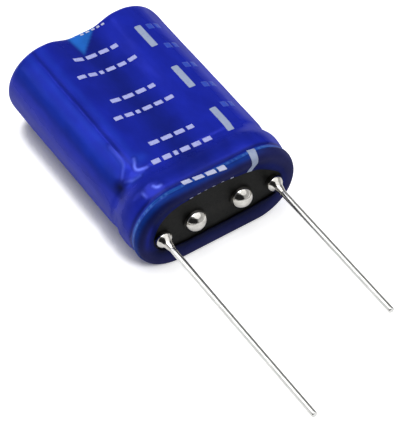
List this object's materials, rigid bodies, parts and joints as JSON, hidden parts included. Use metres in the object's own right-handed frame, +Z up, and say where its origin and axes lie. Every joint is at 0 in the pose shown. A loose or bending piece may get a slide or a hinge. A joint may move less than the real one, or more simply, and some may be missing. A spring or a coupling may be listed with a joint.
{
  "type": "supercapacitor module",
  "caption": "Flat double-lobed energy storage module: round cells in series side by side under blue shrink film, with a black end board, solder joints and parallel wire leads.",
  "frame": {"origin": "midway between the two long leads in the seating plane, level with the tips of the solder on them and with the cells' axes", "axes": "+Y along the cells, away from the leads; +X from the long lead to the short lead; +Z up as the module lies on its side"},
  "size_m": [0.0174, 0.0482, 0.0088],
  "materials": {
    "outer_film": "glossy translucent blue heat-shrink film with pale printed marks",
    "board_mask": "black solder mask, satin",
    "masked_copper": "copper under black solder mask",
    "pad_copper": "bare copper, covered by solder",
    "solder": "bright tin solder",
    "tinned_wire": "bright tinned wire",
    "can_aluminium": "bright drawn aluminium",
    "cell_wrap": "dark blue shrink wrap",
    "bung_rubber": "black butyl rubber",
    "electrode_winding": "carbon-coated foil and paper, wound up and soaked",
    "tab_aluminium": "plain aluminium"
  },
  "bodies": {
    "root": {"outer_film": "outer_film", "circuit_board": "board_mask", "link_track": "masked_copper", "lead_pads": "pad_copper", "solder_mound_left": "solder", "solder_ball_left": "solder", "solder_ball_right": "solder", "solder_mound_right": "solder", "long_lead_wire": "tinned_wire", "link_wire_left": "tinned_wire", "link_wire_right": "tinned_wire", "short_lead_wire": "tinned_wire", "can_left": "can_aluminium", "can_right": "can_aluminium", "cell_wrap_left": "cell_wrap", "cell_wrap_right": "cell_wrap", "bung_left": "bung_rubber", "bung_right": "bung_rubber", "winding_left": "electrode_winding", "winding_right": "electrode_winding", "tab_outer_left": "tab_aluminium", "tab_inner_left": "tab_aluminium", "tab_inner_right": "tab_aluminium", "tab_outer_right": "tab_aluminium"}
  },
  "joints": []
}
